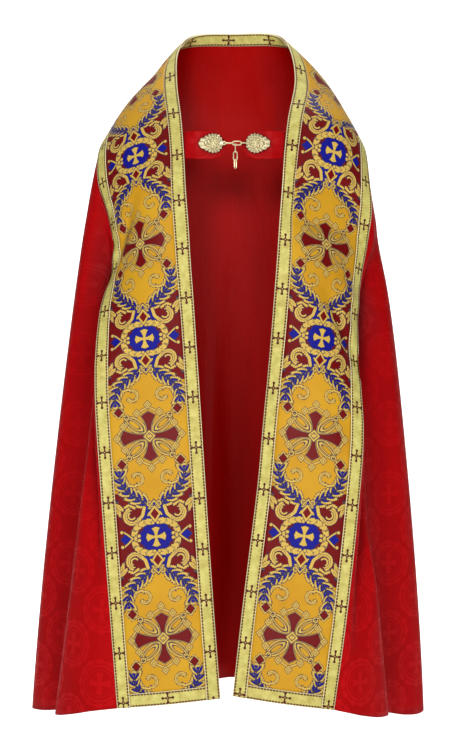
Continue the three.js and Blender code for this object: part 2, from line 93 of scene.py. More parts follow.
def grid_faces(rows, columns):
    """Quads of a grid whose vertex number is row * columns + column."""
    corner = (np.arange(rows - 1)[:, None] * columns + np.arange(columns - 1)).ravel()
    return np.column_stack([corner, corner + 1, corner + columns + 1, corner + columns])


FLOOR_Z = cad_bounds[0][2] - 0.16
BEND = 2.0
turn = np.linspace(0, np.pi / 2, 24)
sweep_y = np.concatenate([[-7.0], 5 + BEND * np.sin(turn), [7.0]])
sweep_z = FLOOR_Z + np.concatenate([[0.0], BEND * (1 - np.cos(turn)), [9.0]])
sweep_x = np.array([-12.0, 12.0])
studio_points = np.stack(
    [
        np.broadcast_to(sweep_x, (len(sweep_y), 2)),
        np.broadcast_to(sweep_y[:, None], (len(sweep_y), 2)),
        np.broadcast_to(sweep_z[:, None], (len(sweep_y), 2)),
    ],
    axis=-1,
).reshape(-1, 3)
studio = add_mesh("studio_sheet", studio_points, grid_faces(len(sweep_y), 2))
print("floor at", round(FLOOR_Z, 3))

# %% Lights
world = bpy.data.worlds.new("studio")
bpy.context.scene.world = world
world.use_nodes = True
background = world.node_tree.nodes["Background"]
background.inputs["Color"].default_value = (1, 1, 1, 1)
background.inputs["Strength"].default_value = 0.12
bpy.context.scene.view_settings.view_transform = "Standard"


def softbox(name, place, target, width, power):
    """A square area light aimed from place at target."""
    data = bpy.data.lights.new(name, "AREA")
    data.size = width
    data.energy = power
    lamp = bpy.data.objects.new(name, data)
    way = np.array(target) - np.array(place)
    flat = np.hypot(way[0], way[1])
    lamp.location = place
    lamp.rotation_euler = (np.arctan2(flat, -way[2]), 0, np.arctan2(way[1], way[0]) - np.pi / 2)
    bpy.context.scene.collection.objects.link(lamp)


MIDDLE = (0, 0, -0.7)
softbox("key", (-0.9, -4.2, 0.6), MIDDLE, 0.9, 100)
softbox("fill", (1.0, -4.3, 0.2), MIDDLE, 1.0, 60)
softbox("front", (0.2, -4.6, -0.5), MIDDLE, 1.0, 36)
softbox("backdrop_wash", (0, 1.6, 3.0), (0, 5.5, -0.5), 3.0, 460)

# %% [markdown]
# ## Shader expressions
# A pattern that is worked out from numbers needs many Math nodes. A small class wraps a socket, and each
# operator on it adds one node, so the patterns below read as ordinary formulas.

# %% The socket class


class Value:
    """A number that varies over the surface: one output socket of a node tree."""

    def __init__(self, shader, socket):
        self.shader, self.socket = shader, socket

    def math(self, operation, *others, clamp=False):
        return self.shader.node("ShaderNodeMath", (self, *others), operation=operation, use_clamp=clamp)

    def __add__(self, other):
        return self.math("ADD", other)

    def __radd__(self, other):
        return self.math("ADD", other)

    def __sub__(self, other):
        return self.math("SUBTRACT", other)

    def __rsub__(self, other):
        return self.shader.node("ShaderNodeMath", (other, self), operation="SUBTRACT")

    def __mul__(self, other):
        return self.math("MULTIPLY", other)

    def __rmul__(self, other):
        return self.math("MULTIPLY", other)

    def __abs__(self):
        return self.math("ABSOLUTE")


class Shader:
    """A material's node tree, with the calls that the finishes below use."""

    def __init__(self, name):
        self.material = bpy.data.materials.new(name)
        self.material.use_nodes = True
        self.tree = self.material.node_tree
        self.bsdf = self.tree.nodes["Principled BSDF"]

    def node(self, kind, inputs=(), output=0, **settings):
        made = self.tree.nodes.new(kind)
        for setting, value in settings.items():
            setattr(made, setting, value)
        places = inputs.items() if isinstance(inputs, dict) else enumerate(inputs)
        for place, value in places:
            if isinstance(value, Value):
                self.tree.links.new(value.socket, made.inputs[place])
            else:
                made.inputs[place].default_value = value
        return Value(self, made.outputs[output])

    def split(self, vector):
        return [self.node("ShaderNodeSeparateXYZ", (vector,), output=axis) for axis in range(3)]

    def object_point(self):
        return self.node("ShaderNodeTexCoord", output="Object")

    def uv(self, name):
        return self.node("ShaderNodeUVMap", uv_map=name)

    def noise(self, vector, scale, detail=3, roughness=0.5):
        return self.node(
            "ShaderNodeTexNoise",
            {"Vector": vector, "Scale": scale, "Detail": detail, "Roughness": roughness},
            output="Fac",
        )

    def mix(self, factor, low, high):
        """A colour between low and high. Each is a Value or a tuple."""
        made = self.tree.nodes.new("ShaderNodeMix")
        made.data_type = "RGBA"
        for place, value in ((0, factor), (6, low), (7, high)):
            if isinstance(value, Value):
                self.tree.links.new(value.socket, made.inputs[place])
            else:
                made.inputs[place].default_value = value
        return Value(self, made.outputs[2])

    def openness(self, distance):
        """1 on open cloth, less in the depth of a fold: how much of the way out is clear within a distance. The
        damask and the lining use it to paint shade into their folds.
        """
        return self.node("ShaderNodeAmbientOcclusion", {"Distance": distance}, output="AO", samples=6)

    def connect(self, **sockets):
        for name, value in sockets.items():
            self.tree.links.new(value.socket, self.bsdf.inputs[name.replace("_", " ")])

    def fixed(self, **sockets):
        for name, value in sockets.items():
            self.bsdf.inputs[name.replace("_", " ")].default_value = value

    def bump(self, height, distance, strength=1.0):
        normal = self.node("ShaderNodeBump", {"Height": height, "Distance": distance, "Strength": strength})
        self.connect(Normal=normal)


def srgb(red, green, blue):
    """A display colour, 0 to 255, as the linear colour that shaders take."""
    display = np.array([red, green, blue]) / 255
    linear = np.where(display <= 0.04045, display / 12.92, ((display + 0.055) / 1.055) ** 2.4)
    return (*linear.tolist(), 1.0)


def larger(a, b):
    return a.math("MAXIMUM", b)


def smaller(a, b):
    return a.math("MINIMUM", b)


def inside(distance, softness=0.35):
    """1 where a signed distance is below zero, 0 above it, with a soft edge."""
    return (distance * (-1 / softness) + 0.5).math("ADD", 0.0, clamp=True)


# %% The studio's white
studio_white = Shader("studio_white")
grain = studio_white.noise(studio_white.object_point(), 3.0)
studio_white.connect(Base_Color=studio_white.mix(grain, (0.88, 0.88, 0.88, 1), (0.92, 0.92, 0.92, 1)))
studio_white.fixed(Roughness=0.9, Emission_Color=(1, 1, 1, 1), Emission_Strength=0.12)
studio.data.materials.append(studio_white.material)

# %% [markdown]
# ## The cloth as one surface
# A cope is cut flat, as a piece of a circle, and hangs from the shoulders in straight falls. So the whole cloak
# can be one surface of two parameters: how far up the front edge a line starts, and how far along that line it
# is. Each line crosses the orphrey, whose width never changes, and then falls straight to the hem. A short table
# gives the two edges of the orphrey at a few sections of each front, and another the turns of the hem.

# %% Tables of sections, in millimetres
# Columns: at, edge_x, edge_y, edge_z, outer_x, outer_y, outer_z
SECTIONS = {
    "left": [
        (0, -28, -280, -1378, -237, -275, -1399),
        (200, -43, -271, -1179, -253, -267, -1201),
        (430, -58, -250, -951, -272, -246, -972),
        (660, -73, -225, -722, -288, -208, -742),
        (820, -84, -205, -564, -282, -148, -595),
        (900, -90, -194, -485, -266, -106, -520),
        (980, -95, -180, -406, -256, -84, -448),
        (1060, -101, -163, -328, -269, -70, -372),
        (1140, -105, -141, -252, -290, -62, -306),
        (1220, -111, -109, -180, -292, -32, -241),
        (1330, -122, -52, -85, -272, 36, -188),
        (1420, -119, -1, -12, -232, 107, -154),
        (1510, -87, 66, 34, -126, 140, -158),
        (1598, 0, 80, 41, 0, 150, -160),
    ],
    "right": [
        (0, -2, -280, -1373, 203, -275, -1402),
        (200, 20, -269, -1175, 231, -268, -1204),
        (430, 49, -246, -948, 257, -243, -973),
        (560, 61, -231, -819, 267, -222, -846),
        (660, 71, -218, -720, 264, -190, -750),
        (740, 78, -208, -641, 261, -158, -674),
        (820, 84, -198, -562, 261, -128, -597),
        (900, 90, -188, -483, 269, -104, -520),
        (980, 95, -177, -403, 284, -88, -444),
        (1060, 101, -161, -326, 295, -78, -370),
        (1140, 107, -142, -249, 291, -60, -298),
        (1220, 116, -110, -176, 283, -30, -228),
        (1330, 132, -50, -84, 262, 49, -192),
        (1420, 122, -3, -9, 225, 104, -150),
        (1510, 92, 64, 36, 124, 140, -158),
        (1598, 0, 80, 41, 0, 150, -160),
    ],
}
# Columns: at, x, y, z
HEM = {
    "left": [
        (0, -237, -275, -1399),
        (180, -290, -262, -1407),
        (340, -326, -236, -1417),
        (500, -360, -198, -1427),
        (640, -373, -166, -1430),
        (740, -356, -128, -1430),
        (830, -350, -98, -1432),
        (940, -380, -66, -1440),
        (1060, -417, -30, -1447),
        (1180, -441, 20, -1450),
        (1260, -432, 88, -1449),
        (1350, -372, 170, -1440),
        (1440, -262, 225, -1430),
        (1520, -135, 252, -1425),
        (1598, 0, 258, -1423),
    ],
    "right": [
        (0, 203, -275, -1402),
        (150, 236, -263, -1411),
        (300, 264, -244, -1420),
        (430, 301, -206, -1430),
        (540, 323, -168, -1432),
        (650, 309, -134, -1434),
        (750, 304, -104, -1437),
        (870, 334, -62, -1447),
        (980, 367, -30, -1457),
        (1080, 399, -2, -1461),
        (1180, 418, 32, -1458),
        (1260, 412, 92, -1454),
        (1350, 358, 170, -1443),
        (1440, 254, 225, -1432),
        (1520, 132, 252, -1426),
        (1598, 0, 258, -1423),
    ],
}
TOP = 1598.0  # the centre back of the neck
ORPHREY = 214.0  # width of the band with its edging
GALLOON = 28.0
SIDES = ("left", "right")
print("sections:", {side: len(SECTIONS[side]) for side in SIDES})

# %% A smooth path through a table


def track(at_rows, values, at):
    """A cubic through the rows, whose slope at each row is that between its two neighbours."""
    slopes = np.gradient(values)
    gaps = np.gradient(at_rows)
    slopes = slopes / gaps
    i = np.clip(np.searchsorted(at_rows, at, side="right") - 1, 0, len(at_rows) - 2)
    step = at_rows[i + 1] - at_rows[i]
    u = np.clip((at - at_rows[i]) / step, 0, 1)
    v = 1 - u
    level = values[i] * v * v * (1 + 2 * u) + values[i + 1] * u * u * (3 - 2 * u)
    return level + step * u * v * (slopes[i] * v - slopes[i + 1] * u)


def path(rows, first_column, at):
    """Three columns of a table as one path, which runs on past the centre back as its mirror image."""
    table = np.array(rows, float)
    beyond = table[-3:-1][::-1].copy()
    beyond[:, 0] = 2 * TOP - beyond[:, 0]
    beyond[:, 1::3] *= -1
    table = np.vstack([table, beyond])
    columns = [table[:, first_column + axis] for axis in range(3)]
    return np.stack([track(table[:, 0], column, at) for column in columns], axis=-1)


def smooth(low, high, x):
    u = np.clip((x - low) / (high - low), 0, 1)
    return u * u * (3 - 2 * u)


def unit(vectors):
    return vectors / np.maximum(np.linalg.norm(vectors, axis=-1, keepdims=True), 1e-9)


print("edge at the top:", path(SECTIONS["left"], 1, np.array([TOP])))

# %% [markdown]
# The orphrey is woven stiff and wide, so it can't shrink. Where its two edges come nearer than its width, over
# the chest and the shoulder, it bows out between them, and where it turns it takes soft creases. A crease is a
# valley or a ridge along a straight line on the flat band, which dies away at both ends.

# %% Across the orphrey
# Columns: at_start, across_start, at_end, across_end, half_width, depth
CREASES = {
    "left": [
        (905, 214, 1075, 105, 28, 11.0),
        (985, 214, 1010, 110, 20, 4.0),
        (1075, 205, 1130, 130, 18, -3.0),
        (700, 200, 760, 120, 30, -3.0),
    ],
    "right": [
        (700, 214, 880, 95, 29, 10.0),
        (840, 214, 900, 120, 22, -4.0),
        (1020, 200, 1120, 120, 24, 4.0),
        (560, 205, 600, 130, 30, 2.5),
    ],
}


def crease(at, across, row):
    """How far one crease pushes the cloth in: a cosine bump across its line, tapering to both ends."""
    at_start, across_start, at_end, across_end, half_width, depth = row
    way = np.array([at_end - at_start, across_end - across_start])
    length = np.hypot(*way)
    way = way / length
    along = (at - at_start) * way[0] + (across - across_start) * way[1]
    away = np.abs((across - across_start) * way[0] - (at - at_start) * way[1])
    taper = smooth(-0.25 * length, 0.2 * length, along) * (1 - smooth(0.45 * length, 1.15 * length, along))
    return depth * taper * (0.5 + 0.5 * np.cos(np.pi * np.clip(away / half_width, 0, 1)))


def orphrey_point(side, at, across):
    """A point of the band: between its two edges, bowed out by the arc that keeps its width."""
    edge = path(SECTIONS[side], 1, at)
    outer = path(SECTIONS[side], 4, at)
    chord = np.linalg.norm(outer - edge, axis=-1)
    crown = np.sqrt(np.maximum(0.375 * chord * (ORPHREY - chord), 9))
    upwards = path(SECTIONS[side], 1, at + 20) - path(SECTIONS[side], 1, at - 20)
    turned = np.cross(upwards, outer - edge) if side == "left" else np.cross(outer - edge, upwards)
    out = unit(turned)
    share = across / ORPHREY
    lift = crown * 4 * share * (1 - share) - sum(crease(at, across, row) for row in CREASES[side])
    return edge + (outer - edge) * share[..., None] + out * lift[..., None]


print("width kept:", np.round(orphrey_point("left", np.array([900.0]), np.array([107.0])), 1))

# %% [markdown]
# Below the orphrey the damask falls straight, out over the arms, to a hem that turns in and out. Behind, the
# spare width of the cut hangs in soft folds that start below the shoulders and open towards the hem.

# %% Down the damask
# Columns: depth, rise, ease
SWELL = {"left": (16.5, 0.12, 1), "right": (21, 0.2, 2), "back": (22, 0.15, 1)}
# Columns: at, half_width, depth
FOLDS = {
    "left": [(1268, 36, 44), (1345, 38, 56), (1424, 36, 40), (1498, 34, 50), (1566, 31, 34)],
    "right": [(1272, 38, 52), (1352, 37, 42), (1428, 36, 54), (1505, 38, 38)],
}

# Columns: beyond_edge, width, depth, low, high
VALLEYS = {"left": (30, 22, 28, -1220, -330), "right": (44, 30, 42, -1360, -380)}


def valley(side, place):
    """A soft upright valley that hugs the band: a bell curve over the level distance beyond the band's outer edge
    at the same height, which fades out at both ends."""
    beyond_edge, width, depth, low, high = VALLEYS[side]
    edge = path(SECTIONS[side], 4, np.linspace(0, 1420, 200))
    edge_x = np.interp(place[..., 2], edge[:, 2], edge[:, 0])
    edge_y = np.interp(place[..., 2], edge[:, 2], edge[:, 1])
    away = np.hypot(place[..., 0] - edge_x, place[..., 1] - edge_y)
    fade = smooth(low, low + 420, place[..., 2]) * (1 - smooth(high - 200, high, place[..., 2]))
    return depth * fade * smooth(0, 0.8 * beyond_edge, away) * np.exp(-(((away - beyond_edge) / width) ** 2))


def swell(where, share):
    """How far the cloth stands out over an arm or the back, by the share of the fall."""
    depth, rise, ease = SWELL[where]
    return depth * (1 - share**4) * (1 - np.exp(-((share / rise) ** ease)))


def fall_point(side, at, share):
    """A point of the damask: straight from the orphrey to the hem, swollen over the arm and folded behind."""
    start = path(SECTIONS[side], 4, at)
    end = path(HEM[side], 1, at)
    place = start + (end - start) * share[..., None]
    along = path(HEM[side], 1, at + 15) - path(HEM[side], 1, at - 15)
    out = np.stack([along[..., 1], -along[..., 0], np.zeros_like(at)], axis=-1)
    out = unit(out) * (-1 if side == "left" else 1)
    round_ = unit(place * np.array([1, 1, 0]) + np.array([0, 20, 0]))
    stands = swell(side, share) + (swell("back", share) - swell(side, share)) * smooth(1200, TOP, at)
    place = place + round_ * (stands * smooth(820, 1200, at))[..., None]
    place = place - round_ * valley(side, place)[..., None]
    for centre, half_width, depth in FOLDS[side]:
        bump = 0.5 + 0.5 * np.cos(np.pi * np.clip(np.abs(at - centre) / half_width, 0, 1))
        place = place - out * (depth * bump * smooth(0.08, 1.25, share) * 1.12)[..., None]
    return place


def cloak_point(side, at, across):
    """across runs from 0 to ORPHREY over the band, and on to ORPHREY + 1 down the damask."""
    band = orphrey_point(side, at, np.clip(across, 0, ORPHREY))
    fall = fall_point(side, at, np.clip(across - ORPHREY, 0, 1))
    return np.where((across <= ORPHREY)[..., None], band, fall)


# %% [markdown]
# Every piece of cloth is a wall: the same surface at two distances, joined round its rim. The distances keep the
# pieces off one another, with the brocade and the galloon outside, and the lining inside.

# %% Walls


def outward(side, at, across):
    """The surface's normal, from two small steps on it, each kept within its own piece."""
    on_band = across <= ORPHREY
    low = np.where(on_band, np.maximum(across - 1, 0), np.maximum(across - 0.01, ORPHREY + 1e-6))
    high = np.where(on_band, np.minimum(across + 1, ORPHREY), np.minimum(across + 0.01, ORPHREY + 1))
    step_across = cloak_point(side, at, high) - cloak_point(side, at, low)
    clear_of_hem = np.maximum(at, 12.0)
    step_up = cloak_point(side, clear_of_hem + 3, across) - cloak_point(side, clear_of_hem - 3, across)
    turned = np.cross(step_up, step_across) if side == "left" else np.cross(step_across, step_up)
    return unit(turned)


def cloth_sheet(side, stations, stops):
    """Points and normals over a grid of stations up the front and stops across."""
    at, across = np.meshgrid(stations, stops, indexing="ij")
    return cloak_point(side, at, across), outward(side, at, across)


def wall(name, points, normals, near, far, uv_maps):
    """A closed wall over a grid of points, from near to far along the normals, in millimetres. The grid's outer
    face comes first, then its inner one, then the rim."""
    rows, columns = points.shape[:2]
    count = rows * columns
    outer = (points + normals * far).reshape(-1, 3)
    inner = (points + normals * near).reshape(-1, 3)
    faces = grid_faces(rows, columns)
    index = np.arange(count).reshape(rows, columns)
    loop = np.concatenate([index[0, :-1], index[:-1, -1], index[-1, :0:-1], index[:0:-1, 0]])
    after = np.roll(loop, -1)
    rim = np.column_stack([loop, loop + count, after + count, after])
    all_faces = np.vstack([faces, faces[:, ::-1] + count, rim])
    obj = add_mesh(name, np.vstack([outer, inner]) * MM, all_faces)
    corner_points = all_faces.ravel() % count
    for uv_name, values in uv_maps.items():
        layer = obj.data.uv_layers.new(name=uv_name)
        layer.data.foreach_set("uv", values.reshape(-1, 2)[corner_points].astype(np.float32).ravel())
    return obj


def tidy_normals(obj):
    """Merges doubled corners, as where a line of the grid has no length, and turns the faces outwards."""
    work = bmesh.new()
    work.from_mesh(obj.data)
    bmesh.ops.remove_doubles(work, verts=work.verts, dist=2e-5)
    bmesh.ops.dissolve_degenerate(work, dist=1e-6, edges=work.edges)
    bmesh.ops.recalc_face_normals(work, faces=work.faces)
    work.to_mesh(obj.data)
    work.free()
    return obj


def place_piece(obj, shader, replaced, body="cope"):
    obj.data.materials.append(shader.material)
    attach(obj, body)
    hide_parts(replaced)
    print(obj.name, len(obj.data.polygons), "faces")
    return obj


# %% [markdown]
# ## Finishes
# The galloon is a ribbon 28 mm wide: pale gold with a watered gloss, a cream selvedge along each edge, a row of
# dashes beside it, and small crosses with ball ends. They are 102 to 105 mm apart, and 81 mm inside the neck. All
# of it is drawn from the ribbon's own coordinates, which run across it and along it in millimetres.

# %% Distances to simple shapes, in millimetres


def flat_coordinates(shader):
    """Across and along the cloth, in millimetres, from its own UV map."""
    across, along, _ = shader.split(shader.uv("cloth"))
    return across * 1000, along * 1000


def repeat(value, period, offset=0.0):
    """Signed distance from the nearest of the places offset + n * period."""
    return (value - offset).math("WRAP", period / 2, -period / 2)


def power(value, exponent):
    return value.math("POWER", exponent)


def hypot(x, y):
    return power(x * x + y * y, 0.5)


def bar(x, y, half_width, half_height):
    """A straight-edged rectangle round the origin."""
    return larger(abs(x) - half_width, abs(y) - half_height)


def disc(x, y, centre_x, centre_y, radius):
    return hypot(x - centre_x, y - centre_y) - radius


def rhomb(x, y, centre_x, centre_y, half_x, half_y):
    """A diamond with its corners half_x and half_y from its centre."""
    unit_size = half_x * half_y / float(np.hypot(half_x, half_y))
    return (abs(x - centre_x) * (1 / half_x) + abs(y - centre_y) * (1 / half_y) - 1) * unit_size


def oval(x, y, centre_x, centre_y, half_x, half_y):
    return (hypot((x - centre_x) * (1 / half_x), (y - centre_y) * (1 / half_y)) - 1) * min(half_x, half_y)


# %% The galloon's pattern
PALE_GOLD = srgb(204, 196, 116)
DEEP_GOLD = srgb(166, 152, 72)
CREAM = srgb(222, 212, 166)
MAROON = srgb(74, 0, 8)


def galloon_material(name, first_cross, pitch):
    """The ribbon with its first cross, and the pitch of the crosses, along it in millimetres."""
    shader = Shader(name)
    across, along = flat_coordinates(shader)
    spot = shader.object_point()
    gloss = shader.noise(spot, 70, 4, 0.6)
    ribs = (along * (2 * np.pi / 0.9)).math("SINE") * 0.5 + 0.5
    colour = shader.mix(gloss * 2.2 - 0.6, DEEP_GOLD, PALE_GOLD)
    from_edge = smaller(across, GALLOON - across)
    colour = shader.mix(inside(from_edge - 1.3, 0.5), colour, CREAM)
    dash = bar(from_edge - 3.1, repeat(along, 6.4), 1.6, 2.4)
    x, y = across - GALLOON / 2, repeat(along, pitch, first_cross)
    mirrored_x, mirrored_y = abs(x), abs(y)
    cross = smaller(bar(x, y, 1.5, 11.0), bar(x, y, 8.6, 1.5))
    cross = smaller(cross, disc(mirrored_x, mirrored_y, 0, 10.6, 2.8))
    cross = smaller(cross, disc(mirrored_x, mirrored_y, 8.6, 0, 2.8))
    cross = smaller(cross, rhomb(x, y, 0, 0, 4.6, 5.2))
    drawn = larger(cross, 1.1 - hypot(x, y))
    colour = shader.mix(inside(smaller(dash, drawn), 0.5), colour, MAROON)
    shader.connect(Base_Color=colour, Roughness=0.42 + gloss * 0.3)
    shader.bump(ribs * 0.5 + gloss, 0.00035, 0.5)
    shader.fixed(Specular_IOR_Level=0.2)
    return shader


CROSSES = {  # the first cross up each ribbon, and their pitch
    ("edge", "left"): (-6.5, 104.0),
    ("edge", "right"): (6.5, 104.5),
    ("outer", "left"): (10.0, 102.0),
    ("outer", "right"): (6.0, 102.0),
    ("hem", "left"): (107.0, 103.0),
    ("hem", "right"): (107.0, 103.0),
    ("neck", "both"): (49.0, 81.0),
}
galloons = {place: galloon_material("galloon_" + "_".join(place), *row) for place, row in CROSSES.items()}
print("galloon nodes:", len(galloons["neck", "both"].tree.nodes))

# %% [markdown]
# The damask shows its pattern only by gloss: matt circles with crosses in them, on a satin ground of the same
# red. It repeats every 150 mm across and down, with every second row set half a step along.

# %% Damask
RED = srgb(170, 5, 9)
RED_FIGURE = srgb(184, 12, 18)
RED_SHADE = srgb(140, 2, 5)
MEDALLION = 150.0
damask = Shader("red_damask")
around, up = flat_coordinates(damask)
spot = damask.object_point()


def medallions(x, y):
    """Circles 75 mm wide with a flared cross in each and a ring of beads round it, signed distance."""
    from_centre = hypot(x, y)
    rings = smaller(abs(from_centre - 36) - 2.2, abs(from_centre - 28) - 0.9)
    flare_y = larger(abs(x) - 2.5 - abs(y) * 0.22, abs(y) - 22)
    flare_x = larger(abs(y) - 2.5 - abs(x) * 0.22, abs(x) - 22)
    turn_about = y.math("ARCTAN2", x)
    beads = abs(from_centre - 45) - 3.5 - (turn_about * 12).math("COSINE") * 2.0
    return smaller(smaller(rings, beads), smaller(flare_x, flare_y))


first = medallions(repeat(around, MEDALLION), repeat(up, MEDALLION))
second = medallions(repeat(around, MEDALLION, MEDALLION / 2), repeat(up, MEDALLION, MEDALLION / 2))
figure = inside(smaller(first, second), 1.2)
mottle = damask.noise(spot, 9, 4, 0.6)
thread = damask.noise(spot, 1400, 2, 0.6)
ground = damask.mix(mottle, RED_SHADE, RED)
hemward = (up * -0.0012 - 0.55).math("ADD", 0.0, clamp=True)
cloth_red = damask.mix(figure * (0.22 + hemward * 0.3), ground, RED_FIGURE)
# Painted shade: where ambient occlusion finds cloth within 0.16 m, the damask's colour is darkened towards a deep
# red.
painted_fold_shade = (1.0 - damask.openness(0.16)).math("MULTIPLY", 2.0, clamp=True)
cloth_red = damask.mix(painted_fold_shade, cloth_red, srgb(54, 0, 2))
damask.connect(
    Base_Color=damask.mix(thread * 0.25, cloth_red, RED_SHADE), Roughness=0.62 - figure * 0.14 + mottle * 0.08
)
damask.bump(thread * 0.6 + figure * 0.5, 0.00025, 0.35)
damask.fixed(Specular_IOR_Level=0.05)
print("damask nodes:", len(damask.tree.nodes))

# %% [markdown]
# The lining is a plain satin, darker than the damask, and glossy enough to show each soft wrinkle.

# %% Satin lining
satin = Shader("red_satin")
spot = satin.object_point()
stretched = satin.node("ShaderNodeMapping", {"Vector": spot, "Scale": (14.0, 14.0, 2.5)})
wrinkle = satin.noise(stretched, 1.0, 4, 0.55)
fine = satin.noise(spot, 900, 2)
# Painted shade: where ambient occlusion finds cloth within 0.14 m, the lining's colour is darkened towards a
# near-black red.
painted_fold_shade = (1.0 - satin.openness(0.14)).math("MULTIPLY", 1.5, clamp=True)
satin_red = satin.mix(wrinkle, srgb(144, 1, 0), srgb(168, 3, 1))
satin.connect(
    Base_Color=satin.mix(painted_fold_shade, satin_red, srgb(52, 0, 0)), Roughness=0.34 + fine * 0.12 + wrinkle * 0.08
)
satin.bump(wrinkle, 0.012, 0.45)
satin.fixed(Specular_IOR_Level=0.05)
print("satin nodes:", len(satin.tree.nodes))

# %% [markdown]
# ## The brocade
# The orphrey's pattern is woven in gold, maroon and blue. It is drawn afresh from the traditional repertory: a
# flared cross with knots at its ends, then acanthus scrolls round a blue quatrefoil, one after the other up the
# band. The repeat mirrors left to right and up and down, so one quarter of it is enough: x from the middle line
# of the band, y from the middle of a cross (0) to the middle of a quatrefoil (205), in millimetres.

# %% Strokes that make the ornament


def stroke(x, y, start, end, half_width):
    """Distance to a straight stroke with round ends: the point's share along it is clamped to 0...1."""
    way = (end[0] - start[0], end[1] - start[1])
    squared = way[0] ** 2 + way[1] ** 2
    from_x, from_y = x - start[0], y - start[1]
    share = (from_x * (way[0] / squared) + from_y * (way[1] / squared)).math("ADD", 0.0, clamp=True)
    return hypot(from_x - share * way[0], from_y - share * way[1]) - half_width


def chain(x, y, points, half_width):
    """A bent stroke through several points."""
    strokes = [stroke(x, y, a, b, half_width) for a, b in zip(points[:-1], points[1:])]
    whole = strokes[0]
    for next_stroke in strokes[1:]:
        whole = smaller(whole, next_stroke)
    return whole


def hoop(x, y, centre, radius, half_width, cut=None):
    """A ring, or with cut = (nx, ny, offset) the part of it on the near side of that line through its centre."""
    from_x, from_y = x - centre[0], y - centre[1]
    ring = abs(hypot(from_x, from_y) - radius) - half_width
    if cut is None:
        return ring
    return larger(ring, from_x * cut[0] + from_y * cut[1] - cut[2])


def turned_to(x, y, centre, degrees):
    """Coordinates about a centre, turned."""
    cos, sin = float(np.cos(np.radians(degrees))), float(np.sin(np.radians(degrees)))
    from_x, from_y = x - centre[0], y - centre[1]
    return from_x * cos + from_y * sin, from_y * cos - from_x * sin


# %% The brocade's colours and its quarter
GOLD_THREAD = srgb(200, 166, 78)
GOLD_GROUND = srgb(202, 156, 30)
GOLD_SHADE = srgb(186, 130, 12)
BROCADE_MAROON = srgb(104, 6, 8)
BROCADE_BLUE = srgb(10, 18, 128)
OUTLINE = srgb(40, 36, 62)
REPEAT = 410.0
FIRST_CROSS = 135.0
LAST_CROSS = FIRST_CROSS + 3 * REPEAT
OUTLINE_WIDTH = 1.1

brocade = Shader("brocade")
across, along = flat_coordinates(brocade)
x = abs(across - ORPHREY / 2)
squeezed = REPEAT / 2 / (TOP - LAST_CROSS)  # the last half repeat ends at the nape
course = smaller(along, along * squeezed + LAST_CROSS * (1 - squeezed))
y = abs(repeat(course, REPEAT, FIRST_CROSS))
scallop = ((x * 0.9 + y * 0.45).math("SINE") * (y * 0.9 - x * 0.45).math("SINE")) * 1.1
layers = []


def fill(distance, colour, outline=None):
    """One more shape on top: its outline first, then the shape itself."""
    if outline is not None:
        layers.append((distance - OUTLINE_WIDTH, outline))
    layers.append((distance, colour))


# Grounds
dark_cell = larger(larger(112 - y, 22 - x), 165 - (x + y))
fill(dark_cell, BROCADE_MAROON, OUTLINE)
fill(smaller(oval(x, y, 0, 158, 22, 24), rhomb(x, y, 0, 158, 26, 30)), BROCADE_BLUE, OUTLINE)

# The flared cross: each arm widens with the square of the distance and ends in a gable
upright_arm = larger(larger(x - 3.5 - power((y - 12) * 0.108, 2), 10 - y), y + x * 0.62 - 50.5)
level_arm = larger(larger(y - 4 - power((x - 12) * 0.083, 2), 10 - x), x + y * 0.47 - 59)
cross_arms = smaller(upright_arm, level_arm)
loop_x, loop_y = turned_to(x, y, (27, 24), 39)
fill(abs(oval(loop_x, loop_y, 0, 0, 23, 12)) - 1.3, GOLD_THREAD, OUTLINE)
fill(abs(oval(loop_x, loop_y, 3, 0, 19, 6)) - 0.9, GOLD_THREAD, OUTLINE)
fill(hoop(x, y, (44, 41), 4.6, 1.2), GOLD_THREAD, OUTLINE)
fill(chain(x, y, [(47, 44), (53, 47)], 1.2), GOLD_THREAD, OUTLINE)
fill(cross_arms - 1.9, GOLD_THREAD, OUTLINE)
fill(cross_arms, BROCADE_MAROON, OUTLINE)
fill(chain(x, y, [(0, 60), (12, 54), (22, 48)], 1.7), GOLD_THREAD, OUTLINE)
fill(chain(x, y, [(66, 3), (60, 12), (51.5, 23)], 1.7), GOLD_THREAD, OUTLINE)
for knot in ((0, 64.5), (66, 0), (23, 48.5), (51.5, 23.5)):
    fill(rhomb(x, y, *knot, 7.6, 8.4), GOLD_THREAD, OUTLINE)
    fill(abs(rhomb(x, y, *knot, 3.6, 4.0)) - 0.45, OUTLINE)
fill(rhomb(x, y, 0, 0, 12.5, 12.5), GOLD_THREAD, OUTLINE)
fill(abs(rhomb(x, y, 0, 0, 7, 7)) - 0.7, OUTLINE)
fill(disc(x, y, 0, 3.2, 1.1), OUTLINE)

# A small flower at each end of the leaves
fill(rhomb(x, y, 60, 53, 13, 14) + scallop, GOLD_THREAD, OUTLINE)
fill(rhomb(x, y, 60, 53, 8.6, 9.4), BROCADE_MAROON, OUTLINE)

# Acanthus leaves that part the two grounds: lobes to both sides of a stem, each over the last
STEM = [(12, 139), (22, 132), (33, 124), (44, 116), (54, 107), (62, 96), (67, 83), (66, 70)]
fill(chain(x, y, STEM, 9.0) + scallop, GOLD_THREAD, OUTLINE)
fill(chain(x, y, STEM[1:], 4.6) + scallop * 1.5, BROCADE_BLUE, OUTLINE)
for here, after in zip(STEM[:-1], STEM[1:]):
    heading = float(np.degrees(np.arctan2(after[1] - here[1], after[0] - here[0])))
    for hand in (1, -1):
        lean = np.radians(heading + 90 * hand)
        middle = (after[0] + 8.5 * float(np.cos(lean)), after[1] + 8.5 * float(np.sin(lean)))
        lobe_x, lobe_y = turned_to(x, y, middle, heading + 32 * hand)
        fill(oval(lobe_x, lobe_y, 0, 0, 11.5, 4.8) + scallop * 0.8, GOLD_THREAD, OUTLINE)
        fill(oval(lobe_x, lobe_y, -2.5, -1.6 * hand, 5.6, 1.8), BROCADE_BLUE, OUTLINE)
